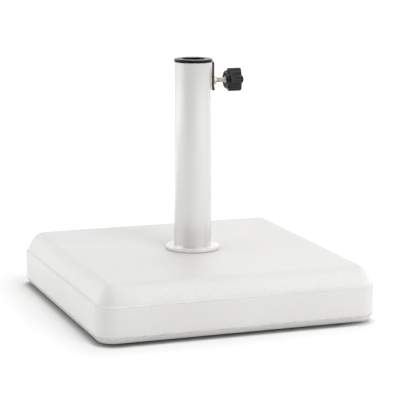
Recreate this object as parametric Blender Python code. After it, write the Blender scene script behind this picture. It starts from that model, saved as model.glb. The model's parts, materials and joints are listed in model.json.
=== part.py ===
"""Parasol base: a cast-concrete block with a clamped steel pole socket.

+Z is up and the origin is on the floor, under the middle of the block. The socket's axis is +Z through
the origin, and the clamp screw's axis points along +X. All lengths are in metres.
"""

from math import atan2, cos, pi, radians, sin, sqrt

import bmesh
import bpy
from mathutils import Matrix

MM = 0.001
GAP = 0.3 * MM  # clearance between pieces that touch

# Concrete block
BLOCK_SIDE = 450 * MM
BLOCK_BOTTOM = 4 * MM  # height of its underside over the floor
BLOCK_HEIGHT = 85 * MM
BLOCK_CORNER_R = 30 * MM
CHAMFER_IN = 6.5 * MM
CHAMFER_UP = 9.8 * MM
SIDE_HEIGHT = 55 * MM  # top of the upright side, where the mould parts
LEDGE_IN = 3.5 * MM
LEDGE_UP = 2 * MM
DOME_IN = 26.5 * MM  # half axes of the ellipse that rounds the upper edge
DOME_UP = 48.5 * MM
DOME_START = radians(25)
DOME_STEPS = 9
CORNER_STEPS = 9
TOP_CORNER_R = 5 * MM
RECESS_R = 22 * MM
RECESS_DEPTH = 20 * MM

# Feet
FOOT_R = 15 * MM
FOOT_SEAT_DEPTH = 3 * MM
FOOT_STEM_R = 5 * MM
FOOT_STEM_LENGTH = 14 * MM
FOOT_INSET = 55 * MM

# Pole tube, its foot plate and the cup in its lower end
TUBE_R = 30 * MM
TUBE_WALL = 2 * MM
TUBE_TOP = 390 * MM
PLATE_R = 43 * MM
PLATE_THICK = 5 * MM
PLATE_EDGE = 1 * MM
POLE_BORE_R = 19 * MM
CUP_HEIGHT = 46 * MM
CUP_FLOOR = 15 * MM  # height of the face that carries the pole over the plate
CUP_FLOOR_THICK = 3 * MM

# Reducers in the tube's mouth
RIM_R = 30.5 * MM
RIM_HEIGHT = 4.7 * MM
RIM_EDGE = 1.6 * MM
RIM_SLIT = 0.8 * MM
RIM_SLIT_ANGLE = radians(-105)
OUTER_SLEEVE_BORE_R = 24 * MM
OUTER_SLEEVE_LENGTH = 62 * MM
STOP_LIP_R = 21 * MM
STOP_LIP_HEIGHT = 3 * MM

# Anchor, all M12
M12_R = 6 * MM
M12_ACROSS_FLATS = 18 * MM
M12_HEAD = 7.5 * MM
M12_NUT = 10 * MM
M12_TIP_OVER_NUT = 1.5 * MM
SLEEVE_WALL = 1.5 * MM
ANCHOR_WASHER_R = 18.5 * MM
ANCHOR_WASHER_THICK = 3 * MM
LOCK_WASHER_R = 10.5 * MM
LOCK_WASHER_THICK = 2.6 * MM
LOCK_WASHER_SPLIT = 2 * MM
LOCK_WASHER_SLANT = radians(25)

# Clamp, all on one axis along +X
CLAMP_Z = BLOCK_BOTTOM + 355.5 * MM
CLIP_WIDTH = 15 * MM
CLIP_THICK = 2.5 * MM
CLIP_X = 30.5 * MM  # inner face of the outside leg
CLIP_INNER_LEG = 12 * MM
CLIP_BEND_R = 3 * MM
CLIP_TAIL_DROP = 15.5 * MM
CLIP_TAIL_KICK = 1.6 * MM
CLIP_HOLE_R = 4.6 * MM
M8_R = 4 * MM
M8_ACROSS_FLATS = 13 * MM
M8_NUT = 5 * MM
M8_HEAD = 5.3 * MM
WALL_HOLE_R = 5 * MM
SLEEVE_HOLE_R = 6 * MM
PAD_R = 4.6 * MM
PAD_TIP_X = 19.3 * MM
PAD_LENGTH = 4.6 * MM
PAD_SOCKET_R = 3 * MM
PAD_SOCKET_DEPTH = 2.6 * MM
BOLT_TIP_R = 2.6 * MM
BOLT_TIP_LENGTH = 2.2 * MM

# Knob
KNOB_X = 56.8 * MM
KNOB_LENGTH = 22 * MM
KNOB_LOBES = 5
KNOB_LOBE_OUT = 13.4 * MM
KNOB_LOBE_R = 5.8 * MM
KNOB_WAIST_R = 14 * MM
KNOB_LOBE_STEPS = 8
KNOB_HOLLOW_STEPS = 5
KNOB_PHASE = radians(-95)  # one lobe points along -Y, 5 degrees up
KNOB_EDGE = 1.6 * MM
COLLAR_X = 54.5 * MM
COLLAR_R = 14.5 * MM
COLLAR_EDGE = 0.6 * MM
COLLAR_POCKET_R = 11.5 * MM
COLLAR_POCKET_DEPTH = 4 * MM
COLLAR_HUB_R = 6.6 * MM
COLLAR_RIBS = 10
COLLAR_RIB_THICK = 1.6 * MM
CAP_R = 9 * MM
CAP_THICK = 2.4 * MM

ROUND_STEPS = 48

COLOURS = {
    "cast_concrete": ((0.80, 0.79, 0.77), 0.75, 0.0),
    "white_powder_coat": ((0.80, 0.80, 0.78), 0.35, 0.0),
    "black_plastic": ((0.018, 0.018, 0.019), 0.42, 0.0),
    "dark_steel": ((0.06, 0.045, 0.04), 0.45, 0.8),
    "zinc_steel": ((0.62, 0.58, 0.54), 0.3, 1.0),
    "grey_plastic": ((0.30, 0.30, 0.31), 0.6, 0.0),
    "rubber": ((0.03, 0.03, 0.03), 0.85, 0.0),
    "white_plastic": ((0.72, 0.71, 0.68), 0.5, 0.0),
}


def clear_scene():
    for obj in list(bpy.data.objects):
        bpy.data.objects.remove(obj)


def material(name):
    found = bpy.data.materials.get(name)
    if found:
        return found
    colour, roughness, metallic = COLOURS[name]
    made = bpy.data.materials.new(name)
    made.use_nodes = True
    shader = made.node_tree.nodes["Principled BSDF"]
    shader.inputs["Base Color"].default_value = (*colour, 1)
    shader.inputs["Roughness"].default_value = roughness
    shader.inputs["Metallic"].default_value = metallic
    return made


def add_object(name, mesh, material_name=None, parent=None):
    obj = bpy.data.objects.new(name, mesh)
    bpy.context.scene.collection.objects.link(obj)
    obj.parent = parent
    if material_name:
        mesh.materials.append(material(material_name))
        mesh.shade_smooth()
        mesh.set_sharp_from_angle(angle=radians(35))
    return obj


def mesh_of(name, bm):
    bmesh.ops.recalc_face_normals(bm, faces=bm.faces)
    mesh = bpy.data.meshes.new(name)
    bm.to_mesh(mesh)
    bm.free()
    return mesh


def along_x(bm):
    """Turns a shape made along +Z so that it runs along +X, with its +X side turned down."""
    bmesh.ops.rotate(bm, verts=bm.verts, matrix=Matrix.Rotation(pi / 2, 3, "Y"))


def extruded(name, outline, low, high, on_x_axis=False):
    """A prism of an outline in the XY plane, between two heights."""
    bm = bmesh.new()
    face = bm.faces.new([bm.verts.new((x, y, low)) for x, y in outline])
    made = bmesh.ops.extrude_face_region(bm, geom=[face])
    moved = [v for v in made["geom"] if isinstance(v, bmesh.types.BMVert)]
    bmesh.ops.translate(bm, verts=moved, vec=(0, 0, high - low))
    if on_x_axis:
        along_x(bm)
    return mesh_of(name, bm)


def turned(name, profile, steps=ROUND_STEPS, on_x_axis=False):
    """A solid of revolution about Z: the closed profile is a list of (radius, height) points.

    A profile that starts and ends on the axis makes a solid one, and any other a ring.
    """
    bm = bmesh.new()
    rings = []
    for radius, height in profile:
        if radius < 1e-7:
            rings.append([bm.verts.new((0, 0, height))])
            continue
        turns = [2 * pi * k / steps for k in range(steps)]
        rings.append([bm.verts.new((radius * cos(t), radius * sin(t), height)) for t in turns])
    for a, b in zip(rings, rings[1:] + rings[:1]):
        for k in range(steps):
            corners = [a[k % len(a)], a[(k + 1) % len(a)], b[(k + 1) % len(b)], b[k % len(b)]]
            corners = list(dict.fromkeys(corners))
            if len(corners) > 2:
                bm.faces.new(corners)
    if on_x_axis:
        along_x(bm)
    return mesh_of(name, bm)


def cylinder(name, radius, low, high, steps=ROUND_STEPS, on_x_axis=False):
    return turned(name, [(0, low), (radius, low), (radius, high), (0, high)], steps, on_x_axis)


def box(name, low, high):
    outline = [(low[0], low[1]), (high[0], low[1]), (high[0], high[1]), (low[0], high[1])]
    return extruded(name, outline, low[2], high[2])


def arc(centre, steps, radius, start, end):
    """Points of an arc round a centre, from one angle to another."""
    turns = [start + (end - start) * k / steps for k in range(steps + 1)]
    return [(centre[0] + radius * cos(t), centre[1] + radius * sin(t)) for t in turns]


def hexagon(across_flats, first_angle=0.0):
    radius = across_flats / 2 / cos(pi / 6)
    turns = [first_angle + pi / 3 * k for k in range(6)]
    return [(radius * cos(t), radius * sin(t)) for t in turns]


def boolean(obj, mesh, operation, place=None):
    """Adds a Boolean with a hidden helper, which shares its object's parent."""
    helper = add_object(f"{obj.name}_{operation.lower()}_{len(obj.modifiers)}", mesh, parent=obj.parent)
    if place:
        helper.matrix_local = place
    helper.hide_render = True
    helper.display_type = "WIRE"
    modifier = obj.modifiers.new(operation.title(), "BOOLEAN")
    modifier.operation = operation
    modifier.object = helper
    modifier.solver = "EXACT"


def cut(obj, mesh, place=None):
    boolean(obj, mesh, "DIFFERENCE", place)


def join(obj, mesh, place=None):
    boolean(obj, mesh, "UNION", place)


def radial_hole(obj, radius, inner, outer):
    """A round hole along +X through one side of a piece, on the clamp screw's axis."""
    hole = cylinder(f"{obj.name}_hole", radius, inner, outer, 24, on_x_axis=True)
    cut(obj, hole, Matrix.Translation((0, 0, CLAMP_Z)))


def square_ring(bm, inset, corner_radius, height):
    """A ring of vertices round the block, moved in from its side by the inset."""
    half = BLOCK_SIDE / 2 - inset - corner_radius
    ring = []
    for k, (sx, sy) in enumerate(((1, 1), (-1, 1), (-1, -1), (1, -1))):
        corner = arc((sx * half, sy * half), CORNER_STEPS, corner_radius, k * pi / 2, (k + 1) * pi / 2)
        ring += [bm.verts.new((x, y, height)) for x, y in corner]
    return ring


def block_profile():
    """(inset, height over the underside) from the underside up to the flat top."""
    points = [(CHAMFER_IN, 0), (0, CHAMFER_UP), (0, SIDE_HEIGHT)]
    points.append((LEDGE_IN * 0.35, SIDE_HEIGHT + LEDGE_UP * 0.65))
    centre_in = LEDGE_IN + DOME_IN * cos(DOME_START)
    centre_up = BLOCK_HEIGHT - DOME_UP
    for k in range(DOME_STEPS + 1):
        turn = DOME_START + (pi / 2 - DOME_START) * k / DOME_STEPS
        points.append((centre_in - DOME_IN * cos(turn), centre_up + DOME_UP * sin(turn)))
    return points


def block_mesh():
    bm = bmesh.new()
    profile = block_profile()
    deepest = profile[-1][0]
    rings = []
    for inset, height in profile:
        radius = BLOCK_CORNER_R + (TOP_CORNER_R - BLOCK_CORNER_R) * inset / deepest
        rings.append(square_ring(bm, inset, radius, BLOCK_BOTTOM + height))
    for lower, upper in zip(rings, rings[1:]):
        for k in range(len(lower)):
            after = (k + 1) % len(lower)
            bm.faces.new((lower[k], lower[after], upper[after], upper[k]))
    bm.faces.new(reversed(rings[0]))
    bm.faces.new(rings[-1])
    return mesh_of("concrete_block", bm)


def foot_places():
    out = BLOCK_SIDE / 2 - FOOT_INSET
    return {
        "foot_front_left": (-out, -out),
        "foot_front_right": (out, -out),
        "foot_back_left": (-out, out),
        "foot_back_right": (out, out),
    }


def make_block():
    top = BLOCK_BOTTOM + BLOCK_HEIGHT
    block = add_object("concrete_block", block_mesh(), "cast_concrete")
    hole_r = M12_R + GAP + SLEEVE_WALL + GAP
    below = BLOCK_BOTTOM - 5 * MM
    through = cylinder("anchor_hole", hole_r, below, top + 5 * MM, 32)
    recess = cylinder("anchor_recess", RECESS_R, below, BLOCK_BOTTOM + RECESS_DEPTH, 40)
    cut(block, through)
    cut(block, recess)
    seat_top = BLOCK_BOTTOM + FOOT_SEAT_DEPTH
    stem_top = seat_top + FOOT_STEM_LENGTH + GAP
    seat_r = FOOT_R + GAP
    stem_r = FOOT_STEM_R + GAP
    profile = [(0, below), (seat_r, below), (seat_r, seat_top)]
    profile += [(stem_r, seat_top), (stem_r, stem_top), (0, stem_top)]
    for x, y in foot_places().values():
        cut(block, turned("foot_seat", profile, 24), Matrix.Translation((x, y, 0)))


def make_feet():
    """Mushroom-shaped rubber feet: a disc in a shallow seat and a ribbed stem in a blind hole."""
    disc_top = BLOCK_BOTTOM + FOOT_SEAT_DEPTH - GAP
    edge = 0.8 * MM
    profile = [(0, 0), (FOOT_R - edge, 0), (FOOT_R, edge), (FOOT_R, disc_top), (FOOT_STEM_R, disc_top)]
    ribs = 3
    rib_pitch = FOOT_STEM_LENGTH / (ribs + 1)
    for k in range(1, ribs + 1):
        height = disc_top + k * rib_pitch
        profile += [(FOOT_STEM_R - 1 * MM, height - 1.2 * MM), (FOOT_STEM_R, height)]
    top = disc_top + FOOT_STEM_LENGTH
    profile += [(FOOT_STEM_R - 1.5 * MM, top), (0, top)]
    mesh = turned("foot", profile, 24)
    for name, (x, y) in foot_places().items():
        foot = add_object(name, mesh, "rubber" if not mesh.materials else None)
        foot.location = (x, y, 0)


def make_anchor():
    """The bolt from below, its washers, the sleeve it runs through and the nut on the foot plate."""
    block_top = BLOCK_BOTTOM + BLOCK_HEIGHT
    recess_top = BLOCK_BOTTOM + RECESS_DEPTH
    plate_top = block_top + GAP + PLATE_THICK
    clear_r = M12_R + GAP

    outer = clear_r + SLEEVE_WALL
    low = recess_top + GAP
    high = block_top - GAP
    sleeve = turned("bolt_sleeve", [(outer, low), (outer, high), (clear_r, high), (clear_r, low)], 32)
    add_object("bolt_sleeve", sleeve, "grey_plastic")

    washer_top = recess_top - GAP
    washer_low = washer_top - ANCHOR_WASHER_THICK
    edge = 0.4 * MM
    washer = turned("anchor_washer", [
        (ANCHOR_WASHER_R - edge, washer_low),
        (ANCHOR_WASHER_R, washer_low + edge),
        (ANCHOR_WASHER_R, washer_top - edge),
        (ANCHOR_WASHER_R - edge, washer_top),
        (clear_r, washer_top),
        (clear_r, washer_low),
    ], 40)
    add_object("anchor_washer", washer, "zinc_steel")

    lock_top = washer_low - GAP
    lock_low = lock_top - LOCK_WASHER_THICK
    lock = turned("anchor_lock_washer", [
        (LOCK_WASHER_R, lock_low), (LOCK_WASHER_R, lock_top), (clear_r, lock_top), (clear_r, lock_low),
    ], 32)
    lock_washer = add_object("anchor_lock_washer", lock, "zinc_steel")
    half = LOCK_WASHER_SPLIT / 2
    split = box("lock_split", (0, -half, -5 * MM), (LOCK_WASHER_R + 3 * MM, half, 5 * MM))
    middle = Matrix.Translation((0, 0, (lock_low + lock_top) / 2))
    cut(lock_washer, split, middle @ Matrix.Rotation(LOCK_WASHER_SLANT, 4, "X"))

    head_top = lock_low - GAP
    nut_top = plate_top + GAP + M12_NUT
    tip = nut_top + M12_TIP_OVER_NUT
    shank_low = head_top - 1 * MM
    shank = [(0, shank_low), (M12_R, shank_low), (M12_R, tip - 1 * MM), (M12_R - 1 * MM, tip), (0, tip)]
    bolt = add_object("anchor_bolt", turned("anchor_bolt", shank, 32), "zinc_steel")
    join(bolt, extruded("anchor_head", hexagon(M12_ACROSS_FLATS), head_top - M12_HEAD, head_top))

    nut = extruded("foot_weld_nut", hexagon(M12_ACROSS_FLATS), plate_top + GAP, nut_top)
    weld_nut = add_object("foot_weld_nut", nut, "zinc_steel")
    cut(weld_nut, cylinder("foot_weld_nut_bore", clear_r, plate_top - 5 * MM, nut_top + 5 * MM, 32))


def make_foot_plate():
    low = BLOCK_BOTTOM + BLOCK_HEIGHT + GAP
    high = low + PLATE_THICK
    inner = M12_R + 2 * GAP
    profile = [(PLATE_R - 0.4 * MM, low), (PLATE_R, low + 0.4 * MM), (PLATE_R, high - PLATE_EDGE)]
    centre = (PLATE_R - PLATE_EDGE, high - PLATE_EDGE)
    profile += arc(centre, 3, PLATE_EDGE, 0, pi / 2)[1:]
    profile += [(inner, high), (inner, low)]
    add_object("foot_plate", turned("foot_plate", profile, 64), "white_powder_coat")


def make_tube():
    low = BLOCK_BOTTOM + BLOCK_HEIGHT + 2 * GAP + PLATE_THICK
    inner = TUBE_R - TUBE_WALL
    bevel = 0.4 * MM
    profile = [
        (TUBE_R, low), (TUBE_R, TUBE_TOP - bevel), (TUBE_R - bevel, TUBE_TOP),
        (inner + bevel, TUBE_TOP), (inner, TUBE_TOP - bevel), (inner, low),
    ]
    tube = add_object("pole_tube", turned("pole_tube", profile), "white_powder_coat")
    radial_hole(tube, WALL_HOLE_R, inner - 6 * MM, TUBE_R + 6 * MM)
    half = CLIP_WIDTH / 2 + GAP
    low = TUBE_TOP - CLIP_THICK - GAP
    high = TUBE_TOP + 5 * MM
    cut(tube, box("tube_notch", (inner - 8 * MM, -half, low), (TUBE_R + 5 * MM, half, high)))


def make_pole_seat_cup():
    """A ribbed cup that fills the tube's lower end, hollow underneath round the weld nut."""
    low = BLOCK_BOTTOM + BLOCK_HEIGHT + 2 * GAP + PLATE_THICK
    floor = low + CUP_FLOOR
    top = low + CUP_HEIGHT
    outer = TUBE_R - TUBE_WALL - GAP
    lead_in = 3 * MM
    hollow_r = 24 * MM
    hollow_top = floor - CUP_FLOOR_THICK
    profile = [
        (0, floor), (POLE_BORE_R, floor), (POLE_BORE_R, top - lead_in), (POLE_BORE_R + lead_in, top),
        (outer, top), (outer, low), (hollow_r, low), (hollow_r, hollow_top), (0, hollow_top),
    ]
    add_object("pole_seat_cup", turned("pole_seat_cup", profile), "black_plastic")


def make_outer_reducer():
    low = TUBE_TOP + GAP
    high = low + RIM_HEIGHT
    sleeve_r = TUBE_R - TUBE_WALL - GAP
    bottom = TUBE_TOP - OUTER_SLEEVE_LENGTH
    profile = [(RIM_R - 0.5 * MM, low), (RIM_R, low + 0.5 * MM)]
    centre = (RIM_R - RIM_EDGE, high - RIM_EDGE)
    profile += arc(centre, 4, RIM_EDGE, 0, pi / 2)
    profile += [
        (OUTER_SLEEVE_BORE_R + 0.5 * MM, high),
        (OUTER_SLEEVE_BORE_R, high - 0.5 * MM),
        (OUTER_SLEEVE_BORE_R, bottom + STOP_LIP_HEIGHT),
        (STOP_LIP_R, bottom + STOP_LIP_HEIGHT),
        (STOP_LIP_R, bottom),
        (sleeve_r - 1 * MM, bottom),
        (sleeve_r, bottom + 1 * MM),
        (sleeve_r, low),
    ]
    mesh = turned("outer_reducer", profile)
    reducer = add_object("outer_reducer", mesh, "black_plastic")
    radial_hole(reducer, SLEEVE_HOLE_R, STOP_LIP_R, TUBE_R)

    # Window in the sleeve for the clip's inside leg.
    half = CLIP_WIDTH / 2 + 2 * GAP
    window_low = TUBE_TOP - CLIP_INNER_LEG - 1 * MM
    window_x = clip_inner_leg_x() - CLIP_THICK / 2 - GAP
    cut(reducer, box("clip_window", (window_x, -half, window_low), (TUBE_R - GAP, half, low)))

    # Slit that lets the sleeve close on its pole.
    half = RIM_SLIT / 2
    start = (STOP_LIP_R - 4 * MM, -half, bottom - 5 * MM)
    slit = box("reducer_slit", start, (RIM_R + 5 * MM, half, high + 5 * MM))
    cut(reducer, slit, Matrix.Rotation(RIM_SLIT_ANGLE, 4, "Z"))


def make_inner_reducer():
    high = TUBE_TOP + GAP + RIM_HEIGHT
    low = TUBE_TOP - OUTER_SLEEVE_LENGTH + STOP_LIP_HEIGHT + GAP
    outer = OUTER_SLEEVE_BORE_R - GAP
    edge = 0.8 * MM
    lead_in = 1.2 * MM
    profile = [
        (outer, low), (outer, high - edge), (outer - edge, high), (POLE_BORE_R + lead_in, high),
        (POLE_BORE_R, high - lead_in), (POLE_BORE_R, low + lead_in), (POLE_BORE_R + lead_in, low),
    ]
    reducer = add_object("inner_reducer", turned("inner_reducer", profile), "black_plastic")
    radial_hole(reducer, SLEEVE_HOLE_R, POLE_BORE_R - 6 * MM, OUTER_SLEEVE_BORE_R + 5 * MM)


def clip_inner_leg_x():
    """Middle of the clip's inside leg, whose edges touch the round wall of the tube."""
    wall_x = sqrt((TUBE_R - TUBE_WALL) ** 2 - (CLIP_WIDTH / 2) ** 2)
    return wall_x - GAP - CLIP_THICK / 2


def clip_centre_line():
    """(x, z) down the middle of the bent strip, from its inside leg, over the tube, to the outside tail."""
    half = CLIP_THICK / 2
    inner_x = clip_inner_leg_x()
    outer_x = CLIP_X + half
    top = TUBE_TOP - half
    bend = CLIP_BEND_R - half
    line = [(inner_x, TUBE_TOP - CLIP_INNER_LEG)]
    line += arc((inner_x + bend, top - bend), 4, bend, pi, pi / 2)
    line += arc((outer_x - bend, top - bend), 4, bend, pi / 2, 0)
    tail_top = CLAMP_Z - M8_ACROSS_FLATS / 2
    line.append((outer_x, tail_top))
    line.append((outer_x + CLIP_TAIL_KICK * 0.35, CLAMP_Z - CLIP_TAIL_DROP * 0.75))
    line.append((outer_x + CLIP_TAIL_KICK, CLAMP_Z - CLIP_TAIL_DROP))
    return line


def offset_line(line, distance):
    """The polyline moved sideways, mitred at its corners."""
    moved = []
    for k, point in enumerate(line):
        before = line[max(k - 1, 0)]
        after = line[min(k + 1, len(line) - 1)]
        turn_in = atan2(point[1] - before[1], point[0] - before[0]) if k else None
        turn_out = atan2(after[1] - point[1], after[0] - point[0]) if k < len(line) - 1 else None
        turn_in = turn_out if turn_in is None else turn_in
        turn_out = turn_in if turn_out is None else turn_out
        swing = (turn_out - turn_in + pi) % (2 * pi) - pi
        normal = turn_in + swing / 2 + pi / 2
        reach = distance / cos(swing / 2)
        moved.append((point[0] + reach * cos(normal), point[1] + reach * sin(normal)))
    return moved


def make_clip():
    line = clip_centre_line()
    outline = offset_line(line, CLIP_THICK / 2) + offset_line(line, -CLIP_THICK / 2)[::-1]
    mesh = extruded("clamp_clip", outline, -CLIP_WIDTH / 2, CLIP_WIDTH / 2)
    mesh.transform(Matrix.Rotation(pi / 2, 4, "X"))  # the outline's second axis becomes +Z
    clip = add_object("clamp_clip", mesh, "dark_steel")
    radial_hole(clip, CLIP_HOLE_R, CLIP_X - 3 * MM, CLIP_X + CLIP_THICK + 4 * MM)


def make_clamp_nut():
    """A hexagonal nut whose outer corners are turned off at 30 degrees."""
    low = CLIP_X + CLIP_THICK + GAP
    high = low + M8_NUT
    prism = extruded("clamp_nut", hexagon(M8_ACROSS_FLATS, pi / 2), low, high, on_x_axis=True)
    nut = add_object("clamp_nut", prism, "zinc_steel")
    nut.location = (0, 0, CLAMP_Z)

    face_r = 0.47 * M8_ACROSS_FLATS
    reach = 4 * MM
    wide_r = face_r + reach
    drop = reach * sin(pi / 6) / cos(pi / 6)
    below = low - 5 * MM
    above = high + 1 * MM
    limit = [(0, below), (wide_r, below), (wide_r, high - drop), (face_r, high), (face_r, above), (0, above)]
    cone = turned("clamp_nut_cone", limit, 32, on_x_axis=True)
    boolean(nut, cone, "INTERSECT", Matrix.Translation((0, 0, CLAMP_Z)))
    radial_hole(nut, M8_R + GAP, low - 5 * MM, high + 5 * MM)


def clamp_empty(name, parent=None):
    empty = bpy.data.objects.new(name, None)
    bpy.context.scene.collection.objects.link(empty)
    empty.parent = parent
    if parent is None:
        empty.location = (0, 0, CLAMP_Z)
    return empty


def make_pressure_pad(carriage):
    """A cap on the screw's tip: it slides with the screw and doesn't turn."""
    low = PAD_TIP_X
    high = low + PAD_LENGTH
    edge = 0.7 * MM
    socket = high - PAD_SOCKET_DEPTH
    profile = [
        (0, low), (PAD_R - edge, low), (PAD_R, low + edge), (PAD_R, high - 0.4 * MM),
        (PAD_R - 0.4 * MM, high), (PAD_SOCKET_R, high), (PAD_SOCKET_R, socket), (0, socket),
    ]
    add_object("pressure_pad", turned("pressure_pad", profile, 32, on_x_axis=True), "white_plastic", carriage)


def make_clamp_bolt(screw):
    shoulder = PAD_TIP_X + PAD_LENGTH + GAP
    tip = shoulder - BOLT_TIP_LENGTH
    head_low = KNOB_X + KNOB_LENGTH - CAP_THICK - 2 * GAP - M8_HEAD
    profile = [
        (0, tip), (BOLT_TIP_R, tip), (BOLT_TIP_R, shoulder), (M8_R - 0.8 * MM, shoulder),
        (M8_R, shoulder + 0.8 * MM), (M8_R, head_low + 1 * MM), (0, head_low + 1 * MM),
    ]
    bolt = add_object("clamp_bolt", turned("clamp_bolt", profile, 32, on_x_axis=True), "zinc_steel", screw)
    head = extruded("clamp_bolt_head", hexagon(M8_ACROSS_FLATS), head_low, head_low + M8_HEAD, on_x_axis=True)
    join(bolt, head)


def knob_outline():
    """Five round lobes joined by hollow arcs that touch both neighbours."""
    between = pi / KNOB_LOBES
    out = KNOB_LOBE_OUT
    slope = out * cos(between)
    hollow_r = (KNOB_LOBE_R**2 - out**2 - KNOB_WAIST_R**2 + 2 * slope * KNOB_WAIST_R)
    hollow_r /= 2 * (KNOB_WAIST_R - slope - KNOB_LOBE_R)
    hollow_out = KNOB_WAIST_R + hollow_r
    touch = atan2(hollow_out * sin(between), hollow_out * cos(between) - out)
    points = []
    for k in range(KNOB_LOBES):
        middle = KNOB_PHASE + 2 * pi * k / KNOB_LOBES
        lobe = (out * cos(middle), out * sin(middle))
        points += arc(lobe, KNOB_LOBE_STEPS, KNOB_LOBE_R, middle - touch, middle + touch)
        valley = middle + between
        hollow = (hollow_out * cos(valley), hollow_out * sin(valley))
        swing = touch - between
        points += arc(hollow, KNOB_HOLLOW_STEPS, hollow_r, valley + pi + swing, valley + pi - swing)[1:-1]
    return points


def rounded_prism(name, outline, low, high, edge):
    """A prism along +X of an outline round the axis, with both its rims rounded."""
    bm = bmesh.new()
    levels = [(low + edge * (1 - sin(t)), edge * (1 - cos(t))) for t in (pi / 2, pi / 4, 0)]
    levels += [(high - edge * (1 - sin(t)), edge * (1 - cos(t))) for t in (0, pi / 4, pi / 2)]
    rings = []
    for height, inset in levels:
        scales = [1 - inset / sqrt(x * x + y * y) for x, y in outline]
        rings.append([bm.verts.new((x * f, y * f, height)) for (x, y), f in zip(outline, scales)])
    for lower, upper in zip(rings, rings[1:]):
        for k in range(len(lower)):
            after = (k + 1) % len(lower)
            bm.faces.new((lower[k], lower[after], upper[after], upper[k]))
    bm.faces.new(reversed(rings[0]))
    bm.faces.new(rings[-1])
    along_x(bm)
    return mesh_of(name, bm)


def collar_pockets():
    """The hollows between the ribs on the collar's face, as one cutter."""
    bm = bmesh.new()
    low = COLLAR_X - 3 * MM
    high = COLLAR_X + COLLAR_POCKET_DEPTH
    step = 2 * pi / COLLAR_RIBS
    for k in range(COLLAR_RIBS):
        middle = KNOB_PHASE + k * step
        outline = []
        for radius, sign in ((COLLAR_HUB_R, -1), (COLLAR_POCKET_R, 1)):
            half = sign * (step / 2 - COLLAR_RIB_THICK / 2 / radius)
            outline += arc((0, 0), 3, radius, middle - half, middle + half)
        low_ring = [bm.verts.new((x, y, low)) for x, y in outline]
        high_ring = [bm.verts.new((x, y, high)) for x, y in outline]
        bm.faces.new(reversed(low_ring))
        bm.faces.new(high_ring)
        for i in range(len(outline)):
            after = (i + 1) % len(outline)
            bm.faces.new((low_ring[i], low_ring[after], high_ring[after], high_ring[i]))
    along_x(bm)
    return mesh_of("collar_pockets", bm)


def make_star_knob(screw):
    high = KNOB_X + KNOB_LENGTH
    body = rounded_prism("star_knob", knob_outline(), KNOB_X, high, KNOB_EDGE)
    knob = add_object("star_knob", body, "black_plastic", screw)
    collar = [
        (0, COLLAR_X), (COLLAR_R - COLLAR_EDGE, COLLAR_X), (COLLAR_R, COLLAR_X + COLLAR_EDGE),
        (COLLAR_R, KNOB_X + 2 * MM), (0, KNOB_X + 2 * MM),
    ]
    join(knob, turned("knob_collar", collar, 40, on_x_axis=True))
    cut(knob, collar_pockets())
    above = high + 5 * MM
    seat_low = high - CAP_THICK - GAP
    cut(knob, cylinder("knob_cap_seat", CAP_R + GAP, seat_low, above, 40, on_x_axis=True))
    head_low = high - CAP_THICK - 3 * GAP - M8_HEAD
    pocket_flats = M8_ACROSS_FLATS + 2 * GAP
    cut(knob, extruded("knob_head_pocket", hexagon(pocket_flats), head_low, above, on_x_axis=True))
    cut(knob, cylinder("knob_bore", M8_R + GAP, COLLAR_X - 5 * MM, above, 32, on_x_axis=True))


def make_knob_cap(screw):
    high = KNOB_X + KNOB_LENGTH
    low = high - CAP_THICK
    edge = 0.7 * MM
    profile = [(0, low), (CAP_R, low), (CAP_R, high - edge), (CAP_R - edge, high), (0, high)]
    add_object("knob_cap", turned("knob_cap", profile, 40, on_x_axis=True), "black_plastic", screw)


def make_clamp():
    make_clip()
    make_clamp_nut()
    carriage = clamp_empty("clamp_travel")
    screw = clamp_empty("knob_turn", carriage)
    make_pressure_pad(carriage)
    make_clamp_bolt(screw)
    make_star_knob(screw)
    make_knob_cap(screw)


def main():
    clear_scene()
    make_block()
    make_feet()
    make_anchor()
    make_foot_plate()
    make_tube()
    make_pole_seat_cup()
    make_outer_reducer()
    make_inner_reducer()
    make_clamp()


main()
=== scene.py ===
"""Looks for the parasol base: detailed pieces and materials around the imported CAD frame."""

import json
from math import atan2, cos, hypot, pi, radians, sin

import bmesh
import bpy
from mathutils import Matrix, Vector, noise


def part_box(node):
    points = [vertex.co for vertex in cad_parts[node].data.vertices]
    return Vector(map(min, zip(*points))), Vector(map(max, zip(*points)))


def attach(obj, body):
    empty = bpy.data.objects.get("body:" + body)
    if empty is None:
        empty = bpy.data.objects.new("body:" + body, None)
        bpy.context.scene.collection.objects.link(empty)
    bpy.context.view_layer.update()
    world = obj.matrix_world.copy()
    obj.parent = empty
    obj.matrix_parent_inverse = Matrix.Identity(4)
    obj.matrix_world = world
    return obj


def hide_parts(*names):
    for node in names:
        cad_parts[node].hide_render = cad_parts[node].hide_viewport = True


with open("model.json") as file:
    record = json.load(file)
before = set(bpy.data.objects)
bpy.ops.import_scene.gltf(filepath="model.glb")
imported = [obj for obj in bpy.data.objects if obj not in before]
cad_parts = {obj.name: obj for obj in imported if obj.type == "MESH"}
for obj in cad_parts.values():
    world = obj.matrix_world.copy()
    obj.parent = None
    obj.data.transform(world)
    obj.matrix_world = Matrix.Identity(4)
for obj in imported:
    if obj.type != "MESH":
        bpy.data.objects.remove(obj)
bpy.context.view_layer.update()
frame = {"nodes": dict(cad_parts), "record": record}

MM = 0.001
GAP = 0.3 * MM  # clearance between two pieces that touch
TUBE_WALL = 2 * MM
BLOCK_CORNER_R = 30 * MM
PLATEAU_CORNER_R = 5 * MM
CHAMFER_IN, CHAMFER_UP = 6.5 * MM, 8.8 * MM
ACROSS_FLATS = 13 * MM  # M8 nut and head
SCREW_CLEARANCE_R = 4.3 * MM  # holes that the screw fills
THREAD_PITCH = 1.25 * MM
PAST = 5 * MM  # how far most cutters run past the face they open

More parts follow.
